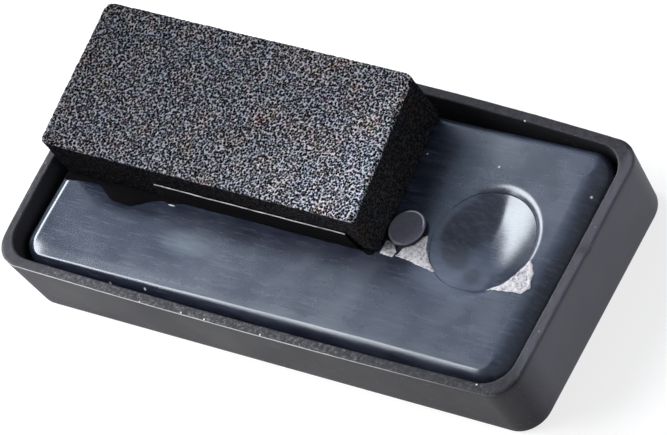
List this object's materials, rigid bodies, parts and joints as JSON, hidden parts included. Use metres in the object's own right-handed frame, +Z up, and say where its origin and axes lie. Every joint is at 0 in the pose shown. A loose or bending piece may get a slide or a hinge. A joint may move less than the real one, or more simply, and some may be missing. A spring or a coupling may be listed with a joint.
{
  "type": "fluid-fed wiping sponge",
  "caption": "Rectangular moulded tray holding a sealed fluid reservoir with a pressed dosing dish and a port plug, and a foam wiping block over part of it.",
  "frame": {"origin": "middle of the tray's flat underside, which is the bottom centre of the whole object", "axes": "+X along the tray, away from the foam's end; +Y across it, towards the foam's side; +Z up, out of the tray's mouth"},
  "size_m": [0.1105, 0.0518, 0.0227],
  "materials": {
    "tray_plastic": "satin moulded plastic, near black, scuffed rim",
    "reservoir_skin": "glossy formed film, dark slate blue",
    "fluid": "dark silicone fluid",
    "port_plastic": "dark moulded plastic, semi gloss",
    "felt": "pressed felt",
    "carrier_film": "glossy black film",
    "adhesive": "thin transfer adhesive",
    "foam": "fine open-cell foam, charcoal with a pale glint in the cells",
    "glue_residue": "dried glue, off-white, crinkled"
  },
  "bodies": {
    "tray_body": {"tray": "tray_plastic", "reservoir_adhesive": "adhesive", "reservoir_pan": "reservoir_skin", "reservoir_fluid": "fluid", "reservoir_film": "reservoir_skin", "port_bush": "port_plastic", "feed_wick": "felt", "foam_carrier": "carrier_film", "foam_adhesive": "adhesive", "glue_patch_left": "glue_residue", "glue_patch_right": "glue_residue", "glue_spot": "glue_residue"},
    "dish_body": {"dosing_dish": "reservoir_skin"},
    "plug_body": {"port_plug": "port_plastic"},
    "foam_body": {"foam_block": "foam"}
  },
  "joints": [
    {"name": "dish_press", "type": "slide", "parent": "tray_body", "child": "dish_body", "axis": [0, 0, -1], "range_m": [0, 0.0012], "stiffness_N_per_m": 1500},
    {"name": "plug_pull", "type": "slide", "parent": "tray_body", "child": "plug_body", "axis": [0, 0, 1], "range_m": [0, 0.006]},
    {"name": "foam_press", "type": "slide", "parent": "tray_body", "child": "foam_body", "axis": [0, 0, -1], "range_m": [0, 0.003], "stiffness_N_per_m": 6000, "deforming": ["foam_block"]}
  ]
}
